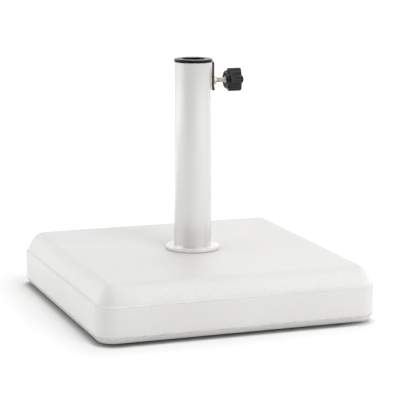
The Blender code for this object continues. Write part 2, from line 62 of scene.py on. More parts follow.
# Edges that turn by more than these angles, in degrees, are shaded as edges.
SHARP = 40
SHARP_FLAT = 35
SHARP_HEX = 25
SHARP_THREAD = 50
SHARP_BEVEL = 60

ROUND_STEPS = 128
HOLE_STEPS = 32


# ---------------------------------------------------------------- meshes


def object_of(name, bm, material, sharp=SHARP):
    bmesh.ops.recalc_face_normals(bm, faces=bm.faces)
    mesh = bpy.data.meshes.new(name)
    bm.to_mesh(mesh)
    bm.free()
    mesh.materials.append(material)
    mesh.shade_smooth()
    mesh.set_sharp_from_angle(angle=radians(sharp))
    obj = bpy.data.objects.new(name, mesh)
    bpy.context.scene.collection.objects.link(obj)
    return obj


def bridge(bm, rings, close_ends=False, loop=False):
    """Faces between rings of vertices. A ring may be a single vertex."""
    pairs = list(zip(rings, rings[1:]))
    if loop:
        pairs.append((rings[-1], rings[0]))
    for a, b in pairs:
        for k in range(max(len(a), len(b))):
            corners = [a[k % len(a)], a[(k + 1) % len(a)], b[(k + 1) % len(b)], b[k % len(b)]]
            corners = list(dict.fromkeys(corners))
            if len(corners) > 2:
                bm.faces.new(corners)
    if close_ends:
        bm.faces.new(reversed(rings[0]))
        bm.faces.new(rings[-1])


def polar(radius_at, steps):
    """Points round the origin, at a radius that may change with the step."""
    points = []
    for k in range(steps):
        turn = 2 * pi * k / steps
        points.append((radius_at(k) * cos(turn), radius_at(k) * sin(turn)))
    return points


def circle(radius, steps):
    return polar(lambda k: radius, steps)


def arc(centre, steps, radius, start, end):
    turns = [start + (end - start) * k / steps for k in range(steps + 1)]
    return [(centre[0] + radius * cos(t), centre[1] + radius * sin(t)) for t in turns]


def add_ring(bm, points, z):
    return [bm.verts.new((x, y, z)) for x, y in points]


def turned(profile, steps=ROUND_STEPS):
    """A solid of revolution about Z, from a closed profile of (radius, height) points."""
    bm = bmesh.new()
    rings = []
    for radius, height in profile:
        on_axis = radius == 0
        rings.append(add_ring(bm, [(0, 0)] if on_axis else circle(radius, steps), height))
    bridge(bm, rings, loop=True)
    return bm


def prism(outline, low, high):
    bm = bmesh.new()
    bridge(bm, [add_ring(bm, outline, z) for z in (low, high)], close_ends=True)
    return bm


def box(low, high):
    outline = [(low[0], low[1]), (high[0], low[1]), (high[0], high[1]), (low[0], high[1])]
    return prism(outline, low[2], high[2])


def clamp_axis():
    """Height of the clamp screw's axis."""
    low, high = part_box("clamp_nut")
    return (low.z + high.z) / 2


def along_screw(bm):
    """Turns a shape made along +Z so that it runs along +X, on the clamp screw's axis."""
    bmesh.ops.rotate(bm, verts=bm.verts, matrix=Matrix.Rotation(pi / 2, 3, "Y"))
    bmesh.ops.translate(bm, verts=bm.verts, vec=(0, 0, clamp_axis()))
    return bm


def drill(radius, low, high, steps=HOLE_STEPS):
    """A round cutter on the clamp screw's axis, from one X to another."""
    return along_screw(turned([(0, low), (radius, low), (radius, high), (0, high)], steps))


def apply_modifiers(obj):
    bpy.context.view_layer.update()
    graph = bpy.context.evaluated_depsgraph_get()
    mesh = bpy.data.meshes.new_from_object(obj.evaluated_get(graph), depsgraph=graph)
    obj.modifiers.clear()
    old = obj.data
    obj.data = mesh
    bpy.data.meshes.remove(old)


def cut(obj, *cutters):
    """Takes shapes out of a piece for good."""
    helpers = []
    for bm in cutters:
        bmesh.ops.recalc_face_normals(bm, faces=bm.faces)
        mesh = bpy.data.meshes.new("cutter")
        bm.to_mesh(mesh)
        bm.free()
        helper = bpy.data.objects.new("cutter", mesh)
        bpy.context.scene.collection.objects.link(helper)
        modifier = obj.modifiers.new("Cut", "BOOLEAN")
        modifier.operation = "DIFFERENCE"
        modifier.solver = "EXACT"
        modifier.object = helper
        helpers.append(helper)
    apply_modifiers(obj)
    for helper in helpers:
        bpy.data.objects.remove(helper)


def sharpen(obj, angle=SHARP):
    obj.data.set_sharp_from_angle(angle=radians(angle))


def bevel(obj, width):
    modifier = obj.modifiers.new("Bevel", "BEVEL")
    modifier.width = width
    modifier.segments = 2
    modifier.limit_method = "ANGLE"
    modifier.angle_limit = radians(SHARP)
    apply_modifiers(obj)
    sharpen(obj, SHARP_BEVEL)


def place(obj, body, slot, *nodes):
    """Lets a piece ride on a body, in place of the CAD nodes that are named."""
    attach(obj, body)
    if nodes:
        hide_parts(*nodes)


# ---------------------------------------------------------------- materials


class Look:
    """A material and short ways to add nodes to it. Places are in metres, in the object's frame.

    `colour` and `roughness` hold where no node drives them, and for programs that don't read nodes.
    """

    def __init__(self, name, colour, roughness, metallic=0.0, **sockets):
        self.material = bpy.data.materials.new(name)
        self.material.use_nodes = True
        self.tree = self.material.node_tree
        self.shader = self.tree.nodes["Principled BSDF"]
        self.set("Base Color", (*colour, 1))
        self.set("Roughness", roughness)
        self.set("Metallic", metallic)
        for key, value in sockets.items():
            self.set(key.replace("_", " "), value)
        self.where = self.add("ShaderNodeTexCoord").outputs["Object"]

    def set(self, socket, value):
        self.shader.inputs[socket].default_value = value

    def add(self, kind, **settings):
        made = self.tree.nodes.new(kind)
        for key, value in settings.items():
            setattr(made, key, value)
        return made

    def feed(self, socket, value):
        """Links an output to a socket, or sets the socket to a plain value."""
        if isinstance(value, bpy.types.NodeSocket):
            self.tree.links.new(value, socket)
        else:
            socket.default_value = value

    def drive(self, socket, value):
        """Links an output to one of the shader's sockets."""
        self.feed(self.shader.inputs[socket], value)

    def stretched(self, scale):
        mapping = self.add("ShaderNodeMapping")
        self.feed(mapping.inputs["Vector"], self.where)
        mapping.inputs["Scale"].default_value = scale
        return mapping.outputs["Vector"]

    def noise(self, scale, detail=2.0, roughness=0.5, stretch=None):
        made = self.add("ShaderNodeTexNoise")
        self.feed(made.inputs["Vector"], self.stretched(stretch) if stretch else self.where)
        made.inputs["Scale"].default_value = scale
        made.inputs["Detail"].default_value = detail
        made.inputs["Roughness"].default_value = roughness
        return made.outputs["Fac"]

    def cells(self, scale):
        """Distance from the middle of the nearest of many cells."""
        made = self.add("ShaderNodeTexVoronoi")
        self.feed(made.inputs["Vector"], self.where)
        made.inputs["Scale"].default_value = scale
        return made.outputs["Distance"]

    def axis(self, name):
        made = self.add("ShaderNodeSeparateXYZ")
        self.feed(made.inputs["Vector"], self.where)
        return made.outputs[name]

    def span(self, value, low, high, to_low=0.0, to_high=1.0, smooth=False):
        """Takes low..high to to_low..to_high, and holds the ends."""
        made = self.add("ShaderNodeMapRange", clamp=True)
        if smooth:
            made.interpolation_type = "SMOOTHSTEP"
        self.feed(made.inputs["Value"], value)
        limits = {"From Min": low, "From Max": high, "To Min": to_low, "To Max": to_high}
        for socket, number in limits.items():
            made.inputs[socket].default_value = number
        return made.outputs["Result"]

    def band(self, value, rise, fall):
        """1 between a rising and a falling edge, each from one value to another, and 0 outside."""
        return self.times(self.span(value, *rise), self.span(value, *fall, 1, 0))

    def math(self, operation, a, b):
        made = self.add("ShaderNodeMath", operation=operation)
        self.feed(made.inputs[0], a)
        self.feed(made.inputs[1], b)
        return made.outputs[0]

    def times(self, value, *factors):
        for factor in factors:
            value = self.math("MULTIPLY", value, factor)
        return value

    def blend(self, factor, a, b):
        """From colour a to colour b. Either may be an output or plain red, green and blue."""
        made = self.add("ShaderNodeMix", data_type="RGBA")
        self.feed(made.inputs["Factor"], factor)
        sockets = [s for s in made.inputs if s.type == "RGBA"]
        for socket, colour in zip(sockets, (a, b)):
            self.feed(socket, colour if isinstance(colour, bpy.types.NodeSocket) else (*colour, 1))
        return [s for s in made.outputs if s.type == "RGBA"][0]

    def bump(self, height, distance, strength):
        """Adds to the bumps that are already there."""
        made = self.add("ShaderNodeBump")
        made.inputs["Strength"].default_value = strength
        made.inputs["Distance"].default_value = distance
        self.feed(made.inputs["Height"], height)
        normal = self.shader.inputs["Normal"]
        if normal.is_linked:
            self.feed(made.inputs["Normal"], normal.links[0].from_socket)
        self.feed(normal, made.outputs["Normal"])


def chamfer_marks(look, colour):
    """Drawn-out lines on the chamfer that the mould left, under a ragged dark edge."""
    height = look.axis("Z")
    on_chamfer = look.span(height, 12 * MM, 13 * MM, 1, 0, smooth=True)
    lines = look.span(look.noise(14, 2, 0.6, stretch=(1, 1, 90)), 0.42, 0.62)
    colour = look.blend(look.times(on_chamfer, 0.5), colour, (0.79, 0.775, 0.76))
    colour = look.blend(look.times(on_chamfer, lines, 0.2), colour, (0.6, 0.57, 0.55))
    edge = look.band(height, (12.3 * MM, 12.7 * MM), (13.2 * MM, 13.6 * MM))
    ragged = look.span(look.noise(230, 3, 0.7, stretch=(1, 1, 0.3)), 0.42, 0.58)
    return look.blend(look.times(edge, ragged, 0.5), colour, (0.4, 0.38, 0.36))


def parting_line(look, colour):
    """A thin grey line where the two halves of the mould met."""
    line = look.band(look.axis("Z"), (57.2 * MM, 57.8 * MM), (58.5 * MM, 59.1 * MM))
    return look.blend(look.times(line, 0.27), colour, (0.62, 0.61, 0.59))


def painted_front_slope_highlight(look, colour):
    """A painted highlight on the slope over the front face: a paler tone, with coarse pale specks for
    the sparkle of the paint's sheen.
    """
    slope = look.band(look.axis("Z"), (60.5 * MM, 62 * MM), (78 * MM, 87 * MM))
    in_front = look.span(look.axis("Y"), -205 * MM, -185 * MM, 1, 0)
    past_corner = look.span(look.axis("X"), -190 * MM, -160 * MM)
    slope = look.times(slope, in_front, past_corner)
    painted_sparkle = look.span(look.noise(480, 2, 0.6), 0.48, 0.62)
    colour = look.blend(look.times(slope, 0.35), colour, (0.84, 0.835, 0.82))
    return look.blend(look.times(slope, painted_sparkle, 0.45), colour, (0.91, 0.905, 0.89))


def concrete_look():
    """White paint over cast concrete, with a few pits, the marks of the mould, and a painted highlight
    on the slope over the front face.
    """
    look = Look("painted_concrete", (0.8, 0.79, 0.77), 0.55)
    clouds = look.noise(7, 3, 0.55)
    grain = look.noise(430, 3, 0.7)
    pit_places = look.span(look.noise(40, 1), 0.57, 0.62)
    pits = look.times(look.span(look.cells(75), 0.05, 0.11, 1, 0), pit_places)
    colour = look.blend(look.span(clouds, 0.35, 0.65), (0.76, 0.753, 0.734), (0.785, 0.778, 0.759))
    colour = look.blend(look.span(grain, 0.3, 0.44, 0.6, 0), colour, (0.70, 0.69, 0.67))
    colour = look.blend(look.span(grain, 0.58, 0.72, 0, 0.5), colour, (0.84, 0.835, 0.82))
    colour = look.blend(look.times(pits, 0.35), colour, (0.45, 0.43, 0.4))
    colour = chamfer_marks(look, colour)
    colour = parting_line(look, colour)
    # The slope over the front face gets a painted highlight and painted sparkle.
    look.drive("Base Color", painted_front_slope_highlight(look, colour))
    look.drive("Roughness", look.span(grain, 0.3, 0.7, 0.34, 0.5))
    look.bump(grain, 0.5 * MM, 0.9)
    look.bump(look.noise(1300, 2, 0.5), 0.12 * MM, 0.5)
    look.bump(look.times(pits, -1), 0.4 * MM, 0.6)
    return look.material


def powder_coat_look(name, metallic, white):
    """White paint, greyer at the foot of the tube, where a reflection of the block's top is painted in.
    `white` is its lightest shade.
    """
    look = Look(name, (white, white, white), 0.18, metallic, Specular_IOR_Level=0.2)
    clouds = look.noise(14, 2, 0.5, stretch=(1, 1, 0.3))
    dull = (white - 0.02, white - 0.023, white - 0.035)
    bright = (white, white - 0.003, white - 0.015)
    colour = look.blend(look.span(clouds, 0.35, 0.65), dull, bright)
    # Painted reflection: greyer below 120 to 131 mm, as if the tube mirrored the block's top.
    foot = look.span(look.axis("Z"), 120 * MM, 131 * MM, 0.3, 0, smooth=True)
    look.drive("Base Color", look.blend(foot, colour, (0.7, 0.665, 0.645)))
    look.drive("Roughness", look.span(look.noise(500, 2, 0.6), 0.3, 0.7, 0.12, 0.17))
    look.bump(look.noise(900, 2, 0.5), 0.015 * MM, 0.3)
    return look.material


def black_plastic_look():
    look = Look("black_plastic", (0.02, 0.02, 0.021), 0.3, Specular_IOR_Level=0.34)
    clouds = look.noise(90, 3, 0.5)
    colour = look.blend(look.span(clouds, 0.35, 0.7), (0.004, 0.004, 0.0045), (0.008, 0.008, 0.009))
    look.drive("Base Color", colour)
    look.drive("Roughness", look.span(clouds, 0.3, 0.7, 0.22, 0.27))
    look.bump(look.noise(1600, 2, 0.6), 0.03 * MM, 0.3)
    return look.material


def ring_plastic_look():
    """The reducers' plastic: polished by handling on top, dull and dark in the bore and on the side."""
    look = Look("ring_plastic", (0.02, 0.02, 0.021), 0.3)
    clouds = look.noise(90, 3, 0.5)
    colour = look.blend(look.span(clouds, 0.35, 0.7), (0.004, 0.004, 0.005), (0.009, 0.009, 0.01))
    look.drive("Base Color", colour)
    look.drive("Roughness", look.span(clouds, 0.3, 0.7, 0.26, 0.32))
    polish = look.span(look.axis("Z"), 393.2 * MM, 394.7 * MM, 0.08, 0.83)
    look.drive("Specular IOR Level", polish)
    look.bump(look.noise(1600, 2, 0.6), 0.03 * MM, 0.3)
    return look.material


def dark_steel_look():
    look = Look("dark_spring_steel", (0.06, 0.045, 0.04), 0.45, 0.7)
    streaks = look.noise(220, 3, 0.6, stretch=(1, 1, 0.15))
    clouds = look.noise(130, 3, 0.6)
    colour = look.blend(look.span(clouds, 0.35, 0.68), (0.045, 0.032, 0.028), (0.12, 0.085, 0.07))
    look.drive("Base Color", colour)
    look.drive("Roughness", look.span(streaks, 0.3, 0.7, 0.35, 0.6))
    look.bump(streaks, 0.05 * MM, 0.5)
    return look.material


def zinc_look():
    look = Look("zinc_plated_steel", (0.62, 0.57, 0.53), 0.28, 1.0)
    clouds = look.noise(160, 3, 0.6)
    scratches = look.noise(900, 2, 0.6, stretch=(0.15, 1, 1))
    colour = look.blend(look.span(clouds, 0.35, 0.68), (0.56, 0.51, 0.46), (0.76, 0.71, 0.65))
    look.drive("Base Color", colour)
    look.drive("Roughness", look.span(scratches, 0.3, 0.7, 0.2, 0.38))
    look.bump(scratches, 0.03 * MM, 0.4)
    return look.material


def rubber_look():
    look = Look("black_rubber", (0.03, 0.03, 0.03), 0.85)
    dust = look.noise(260, 4, 0.65)
    colour = look.blend(look.span(dust, 0.45, 0.75), (0.022, 0.022, 0.022), (0.07, 0.068, 0.062))
    look.drive("Base Color", colour)
    look.drive("Roughness", look.span(dust, 0.3, 0.7, 0.75, 0.92))
    look.bump(look.noise(1100, 2, 0.6), 0.08 * MM, 0.5)
    return look.material


def moulded_look(name, dark, light, roughness):
    look = Look(name, dark, roughness)
    clouds = look.noise(120, 3, 0.55)
    look.drive("Base Color", look.blend(look.span(clouds, 0.35, 0.7), dark, light))
    look.drive("Roughness", look.span(clouds, 0.3, 0.7, roughness - 0.06, roughness + 0.08))
    look.bump(look.noise(1300, 2, 0.6), 0.05 * MM, 0.4)
    return look.material


LOOKS = {
    "cast_concrete": concrete_look(),
    "white_powder_coat": powder_coat_look("white_powder_coat", 0.35, 0.755),
    # The foot plate wears the tube's paint, painted lighter (0.9 against 0.755) for the light on its
    # upward face.
    "lit_plate_powder_coat": powder_coat_look("lit_plate_powder_coat", 0.1, 0.9),
    "black_plastic": black_plastic_look(),
    "ring_plastic": ring_plastic_look(),
    "dark_steel": dark_steel_look(),
    "zinc_steel": zinc_look(),
    "rubber": rubber_look(),
    "grey_plastic": moulded_look("grey_plastic", (0.26, 0.26, 0.27), (0.34, 0.34, 0.35), 0.55),
    "white_plastic": moulded_look("white_plastic", (0.68, 0.67, 0.64), (0.76, 0.75, 0.72), 0.45),
}


# ---------------------------------------------------------------- concrete block

STRAIGHT_POINTS, CORNER_POINTS = 130, 14
SIDE_LOW, SIDE_TOP = 12 * MM, 55 * MM  # over the underside
LEDGE_IN = 3.5 * MM
DOME_HALF_IN, DOME_HALF_UP = 26.5 * MM, 48.5 * MM  # half axes of its ellipse
DOME_START = radians(25)
DOME_STEPS = 22
FEET = ("foot_front_left", "foot_front_right", "foot_back_left", "foot_back_right")


def square_outline(half, corner_r):
    """Points round a rounded square, with the same count on every call."""
    points = []
    inner = half - corner_r
    for k in range(4):
        turn = k * pi / 2
        side = [(half, -inner + 2 * inner * j / STRAIGHT_POINTS) for j in range(STRAIGHT_POINTS)]
        side += arc((inner, inner), CORNER_POINTS, corner_r, 0, pi / 2)[:-1]
        points += [(x * cos(turn) - y * sin(turn), x * sin(turn) + y * cos(turn)) for x, y in side]
    return points


def scaled(points, factor):
    return [(x * factor, y * factor) for x, y in points]


def mixed(first, second, share):
    """Points a share of the way from one outline to another."""
    return [
        (a * (1 - share) + c * share, b * (1 - share) + d * share)
        for (a, b), (c, d) in zip(first, second)
    ]


def uneven(point, scale, amount):
    return amount * noise.fractal(Vector(point) * scale, 0.9, 2.1, 4)


def block_levels(bottom, height):
    """(inset, z, raggedness) from the underside up to the flat top."""
    steps, ridges = 8, 3
    levels = []
    for k in range(steps + 1):
        part = k / steps
        ridge = 0.22 * MM * sin(part * ridges * 2 * pi) if 0 < k < steps else 0
        levels.append((CHAMFER_IN * (1 - part) + ridge, bottom + CHAMFER_UP * part, 0))
    levels.append((0.9 * MM, bottom + 9.2 * MM, 4.0))
    levels.append((0.4 * MM, bottom + 9.8 * MM, 2.5))
    levels.append((0.0, bottom + SIDE_LOW, 1.2))
    steps = 7
    for k in range(1, steps + 1):
        levels.append((0.0, bottom + SIDE_LOW + (SIDE_TOP - SIDE_LOW) * k / steps, 0))
    levels.append((0.5 * MM, bottom + SIDE_TOP + 0.35 * MM, 0))
    levels.append((1.2 * MM, bottom + SIDE_TOP + 1.0 * MM, 1.2))
    for k in range(DOME_STEPS + 1):
        turn = DOME_START + (pi / 2 - DOME_START) * k / DOME_STEPS
        inset = LEDGE_IN + DOME_HALF_IN * cos(DOME_START) - DOME_HALF_IN * cos(turn)
        levels.append((inset, bottom + height - DOME_HALF_UP + DOME_HALF_UP * sin(turn), 0))
    return levels


def underside_rings(bm, unit, half, bottom, top):
    """From the anchor's hole, through its recess, and out over the underside."""
    sleeve_low, sleeve_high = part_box("bolt_sleeve")
    hole_r = sleeve_high.x + GAP
    recess_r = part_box("anchor_washer")[1].x + 3.5 * MM
    recess_z = sleeve_low.z - GAP
    steps = ((hole_r, top), (hole_r, recess_z), (recess_r, recess_z), (recess_r, bottom))
    rings = [add_ring(bm, scaled(unit, radius), z) for radius, z in steps]
    recess = scaled(unit, recess_r)
    edge = square_outline(half - CHAMFER_IN, BLOCK_CORNER_R - CHAMFER_IN)
    for share in (0.33, 0.66):
        rings.append(add_ring(bm, mixed(recess, edge, share), bottom))
    return rings


def side_rings(bm, half, levels):
    """Chamfer, sides and dome. The mould leaves the edge over the chamfer ragged."""
    deepest = levels[-1][0]
    rings = []
    for inset, z, ragged in levels:
        corner_r = BLOCK_CORNER_R + (PLATEAU_CORNER_R - BLOCK_CORNER_R) * inset / deepest
        points = []
        for x, y in square_outline(half - inset, corner_r):
            wave = uneven((x, y, z), 11, 0.1 * MM)
            if ragged:
                wave += min(0.0, uneven((x, y, z * 2), 170, 0.16 * MM * ragged))
            shrink = 1 + min(wave, 0.0) / max(abs(x), abs(y))
            points.append((x * shrink, y * shrink))
        rings.append(add_ring(bm, points, z))
    return rings


def top_rings(bm, unit, half, top):
    """The flat top, which turns from square to round towards the anchor's hole."""
    flat = square_outline(half, PLATEAU_CORNER_R)
    rings = []
    for part in (0.96, 0.9, 0.82, 0.73, 0.64, 0.55, 0.46, 0.38, 0.32):
        points = mixed(scaled(flat, part), scaled(unit, half * part), (1 - part) ** 2)
        dips = [min(0.0, uneven((x, y, 0), 9, 0.12 * MM)) for x, y in points]
        rings.append([bm.verts.new((x, y, top + dip)) for (x, y), dip in zip(points, dips)])
    beside_plate, under_plate = 48 * MM, 42 * MM
    for radius in (beside_plate, under_plate):
        rings.append(add_ring(bm, scaled(unit, radius), top))
    return rings


def foot_seat(foot, bottom):
    """A cutter for one rubber foot: a wide mouth under a narrow hole for its stem."""
    low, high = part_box(foot)
    centre = (low + high) / 2
    mouth_r = high.x - centre.x + GAP
    mouth_top = bottom + 3 * MM
    stem_r = 5 * MM + GAP
    stem_top = high.z + GAP
    profile = [(0, -PAST), (mouth_r, -PAST), (mouth_r, mouth_top)]
    profile += [(stem_r, mouth_top), (stem_r, stem_top), (0, stem_top)]
    seat = turned(profile, HOLE_STEPS)
    bmesh.ops.translate(seat, verts=seat.verts, vec=(centre.x, centre.y, 0))
    return seat


def make_block():
    low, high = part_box("concrete_block")
    half = high.x
    levels = block_levels(low.z, high.z - low.z)
    deepest = levels[-1][0]
    unit = [(x / hypot(x, y), y / hypot(x, y)) for x, y in square_outline(half, BLOCK_CORNER_R)]
    bm = bmesh.new()
    rings = underside_rings(bm, unit, half, low.z, high.z)
    rings += side_rings(bm, half, levels)
    rings += top_rings(bm, unit, half - deepest, high.z)
    bridge(bm, rings, loop=True)
    block = object_of("block_cast", bm, LOOKS["cast_concrete"])
    cut(block, *[foot_seat(foot, low.z) for foot in FEET])
    place(block, "base", "cast_concrete", "concrete_block")


# ---------------------------------------------------------------- tube and foot plate


def make_tube():
    low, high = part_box("pole_tube")
    outer = high.x
    inner = outer - TUBE_WALL
    edge = 0.4 * MM
    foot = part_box("foot_plate")[1].z
    steps = 12
    profile = [(outer, foot)]
    profile += [(outer, low.z + (high.z - low.z) * k / steps) for k in range(1, steps)]
    profile += [(outer, high.z - edge), (outer - edge, high.z), (inner + edge, high.z)]
    profile += [(inner, high.z - edge), (inner, foot)]
    tube = object_of("tube_skin", turned(profile), LOOKS["white_powder_coat"])

    # A hole for the screw, and a notch in the rim for the clip.
    past = 8 * MM
    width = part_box("clamp_clip")[1].y + GAP
    notch = box((inner - past, -width, high.z - 2.8 * MM), (outer + past, width, high.z + past))
    cut(tube, drill(5 * MM, inner - past, outer + past), notch)
    sharpen(tube)
    place(tube, "base", "white_powder_coat", "pole_tube")


def make_plate():
    """A disc with a rounded upper edge, and an undercut that throws the shadow line round it."""
    low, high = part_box("foot_plate")
    outer = high.x
    edge = 0.5 * MM
    bore = 6.6 * MM
    profile = [(outer - 2.5 * MM, low.z), (outer - 2.0 * MM, low.z + 0.7 * MM)]
    profile += [(outer, low.z + 0.8 * MM)]
    profile += arc((outer - edge, high.z - edge), 5, edge, 0, pi / 2)
    profile += [(outer - 6 * MM, high.z), (bore, high.z), (bore, low.z)]
    plate = object_of("plate_disc", turned(profile), LOOKS["lit_plate_powder_coat"])
    place(plate, "base", "white_powder_coat", "foot_plate")


# ---------------------------------------------------------------- reducers

SCREW_HOLE_R = 6 * MM
BORE_R = 19 * MM


def make_outer_reducer():
    """A sleeve in the tube, with a rim that covers the tube's end."""
    low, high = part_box("outer_reducer")
    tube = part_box("pole_tube")[1]
    rim_r, rim_low = high.x, tube.z + GAP
    sleeve_r = tube.x - TUBE_WALL - GAP
    bore_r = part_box("inner_reducer")[1].x + GAP
    lip_r, lip_top = 21 * MM, low.z + 3 * MM
    small, edge = 0.5 * MM, 1.6 * MM
    profile = [(rim_r - small, rim_low)]
    profile += arc((rim_r - small, rim_low + small), 3, small, -pi / 2, 0)[1:]
    profile += arc((rim_r - edge, high.z - edge), 6, edge, 0, pi / 2)
    profile += [(bore_r + 2.6 * MM, high.z), (bore_r + 0.6 * MM, high.z - 0.1 * MM)]
    profile += [(bore_r, high.z - 0.7 * MM), (bore_r, lip_top), (lip_r, lip_top), (lip_r, low.z)]
    profile += [(sleeve_r - 1 * MM, low.z), (sleeve_r, low.z + 1 * MM), (sleeve_r, rim_low)]
    reducer = object_of("reducer_outer", turned(profile), LOOKS["ring_plastic"])

    # A window for the clip's inner leg, and the slit that lets the sleeve spring.
    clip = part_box("clamp_clip")
    width = clip[1].y + 2 * GAP
    window = box((clip[0].x - GAP, -width, tube.z - 13 * MM), (tube.x - GAP, width, rim_low))
    slit_half = 0.4 * MM
    slit = box((17 * MM, -slit_half, low.z - PAST), (rim_r + PAST, slit_half, high.z + PAST))
    bmesh.ops.rotate(slit, verts=slit.verts, matrix=Matrix.Rotation(radians(-105), 3, "Z"))
    cut(reducer, drill(SCREW_HOLE_R, 20 * MM, 30 * MM), window, slit)
    sharpen(reducer)
    place(reducer, "base", "black_plastic", "outer_reducer")


def make_inner_reducer():
    low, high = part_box("inner_reducer")
    outer = high.x
    edge, mouth = 0.8 * MM, 1.2 * MM
    profile = [(outer - 0.5 * MM, low.z), (outer, low.z + 0.5 * MM), (outer, high.z - edge)]
    profile += arc((outer - edge, high.z - edge), 4, edge, 0, pi / 2)[1:]
    profile += arc((BORE_R + mouth, high.z - mouth), 5, mouth, pi / 2, pi)
    profile += [(BORE_R, low.z + mouth), (BORE_R + mouth, low.z)]
    reducer = object_of("reducer_inner", turned(profile), LOOKS["ring_plastic"])
    cut(reducer, drill(SCREW_HOLE_R, 14 * MM, 30 * MM))
    sharpen(reducer)
    place(reducer, "base", "black_plastic", "inner_reducer")


# ---------------------------------------------------------------- clamp

CLIP_THICK = 2.5 * MM
CLIP_BEND = 3 * MM  # outer radius of its two bends
CLIP_LEG = 12 * MM
CLIP_HOLE_R = 4.6 * MM
HEX_STEPS = 120
HEAD_HEIGHT = 5.3 * MM
THREAD_STEPS = 48
THREAD_R, THREAD_ROOT_R, THREAD_TIP_R = 3.95 * MM, 3.25 * MM, 2.6 * MM


def offset_line(line, distance):
    """A line beside an open line, at the same distance all along."""
    headings = [atan2(b[1] - a[1], b[0] - a[0]) for a, b in zip(line, line[1:])]
    moved = []
    for k, (x, y) in enumerate(line):
        turn_in = headings[max(k - 1, 0)]
        turn_out = headings[min(k, len(headings) - 1)]
        swing = (turn_out - turn_in + pi) % (2 * pi) - pi
        normal = turn_in + swing / 2 + pi / 2
        reach = distance / cos(swing / 2)
        moved.append((x + reach * cos(normal), y + reach * sin(normal)))
    return moved


def clip_line():
    """(x, z) along the strip's middle: the inner leg, the hook, the outer leg and its kicked tail."""
    low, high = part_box("clamp_clip")
    half = CLIP_THICK / 2
    inner_x = low.x + half
    outer_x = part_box("clamp_nut")[0].x - GAP - half
    bend = CLIP_BEND - half
    bend_z = high.z - half - bend
    flat_top, flat_low = clamp_axis() + 6.5 * MM, clamp_axis() - 6.5 * MM
    line = [(inner_x, high.z - CLIP_LEG)]
    line += arc((inner_x + bend, bend_z), 8, bend, pi, pi / 2)
    line += arc((outer_x - bend, bend_z), 8, bend, pi / 2, 0)
    line += [(outer_x, flat_top), (outer_x, flat_low)]
    kick = high.x - half - outer_x
    steps = 6
    for k in range(1, steps + 1):
        part = k / steps
        line.append((outer_x + kick * part**2, flat_low + (low.z - flat_low) * part))
    return line, outer_x


def make_clip():
    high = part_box("clamp_clip")[1]
    line, outer_x = clip_line()
    half = CLIP_THICK / 2
    outline = offset_line(line, half) + offset_line(line, -half)[::-1]
    bm = prism(outline, -high.y, high.y)
    bmesh.ops.rotate(bm, verts=bm.verts, matrix=Matrix.Rotation(pi / 2, 3, "X"))
    clip = object_of("clip_strip", bm, LOOKS["dark_steel"], SHARP_FLAT)
    cut(clip, drill(CLIP_HOLE_R, outer_x - 4 * MM, outer_x + PAST, 40))
    bevel(clip, 0.35 * MM)
    place(clip, "base", "dark_steel", "clamp_clip")


def held_hexagon(limit_r, phase):
    """Points round a hexagon that is held inside a circle."""
    apothem = ACROSS_FLATS / 2

    def radius_at(k):
        from_flat = (2 * pi * k / HEX_STEPS - phase) % (pi / 3) - pi / 6
        return min(apothem / cos(from_flat), limit_r)

    return polar(radius_at, HEX_STEPS)


def hex_body(low, high, phase, bore_r=0):
    """A hexagon whose upper end is turned to a cone, with a chamfered bore if it has one."""
    cone_slope = 1.73
    cone_top_r = 0.96 * ACROSS_FLATS / 2
    heights = (0, 0.25 * MM, 0.5 * MM, 1.0 * MM, 1.5 * MM)
    levels = [low + h for h in heights] + [high - h for h in reversed(heights)]
    bm = bmesh.new()
    rings = []
    for z in levels:
        cone_r = cone_top_r + (high - z) * cone_slope
        rings.append(add_ring(bm, held_hexagon(cone_r, phase), z))
    if bore_r:
        edge = 0.6 * MM
        wide_r = bore_r + edge
        for radius, z in ((wide_r, high), (bore_r, high - edge), (bore_r, low + edge), (wide_r, low)):
            rings.append(add_ring(bm, circle(radius, HEX_STEPS), z))
    bridge(bm, rings, close_ends=not bore_r, loop=bool(bore_r))
    return bm


def make_clamp_nut():
    low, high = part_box("clamp_nut")
    bm = along_screw(hex_body(low.x, high.x, pi / 2, SCREW_CLEARANCE_R))
    nut = object_of("nut_body", bm, LOOKS["zinc_steel"], SHARP_HEX)
    place(nut, "base", "zinc_steel", "clamp_nut")


def threaded(z, start, end):
    """Points round the screw at a height, where the thread winds from start to end."""
    fade = max(min(1.0, (z - start) / THREAD_PITCH, (end - z) / THREAD_PITCH), 0.0)

    def radius_at(k):
        phase = ((z - start) / THREAD_PITCH + k / THREAD_STEPS) % 1.0
        crest = abs(2 * phase - 1)
        ridge = min(max((crest - 0.12) / 0.72, 0.0), 1.0)
        return THREAD_ROOT_R + (THREAD_R - THREAD_ROOT_R) * ridge * fade

    return polar(radius_at, THREAD_STEPS)


def make_screw():
    """The clamp screw with a real M8 thread on its core, a plain tip and a hexagon head."""
    low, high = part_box("clamp_bolt")
    edge = 0.3 * MM
    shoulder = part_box("pressure_pad")[1].x + GAP
    head_low = high.x - HEAD_HEIGHT
    start, end = shoulder + edge, head_low - edge
    bm = bmesh.new()
    plain = (
        (THREAD_TIP_R - edge, low.x),
        (THREAD_TIP_R, low.x + edge),
        (THREAD_TIP_R, shoulder),
        (THREAD_ROOT_R - edge, shoulder),
    )
    rings = [add_ring(bm, circle(radius, THREAD_STEPS), z) for radius, z in plain]
    rings_per_turn = 8
    count = int((end - start) / THREAD_PITCH) * rings_per_turn
    for k in range(count + 1):
        z = start + (end - start) * k / count
        rings.append(add_ring(bm, threaded(z, start, end), z))
    rings.append(add_ring(bm, circle(THREAD_ROOT_R, THREAD_STEPS), head_low))
    bridge(bm, rings, close_ends=True)
    screw = object_of("screw_thread", along_screw(bm), LOOKS["zinc_steel"], SHARP_THREAD)
    place(screw, "knob", "zinc_steel", "clamp_bolt")
    bm = along_screw(hex_body(head_low, high.x, 0))
    head = object_of("screw_head", bm, LOOKS["zinc_steel"], SHARP_HEX)
    place(head, "knob", "zinc_steel")


# ---------------------------------------------------------------- knob

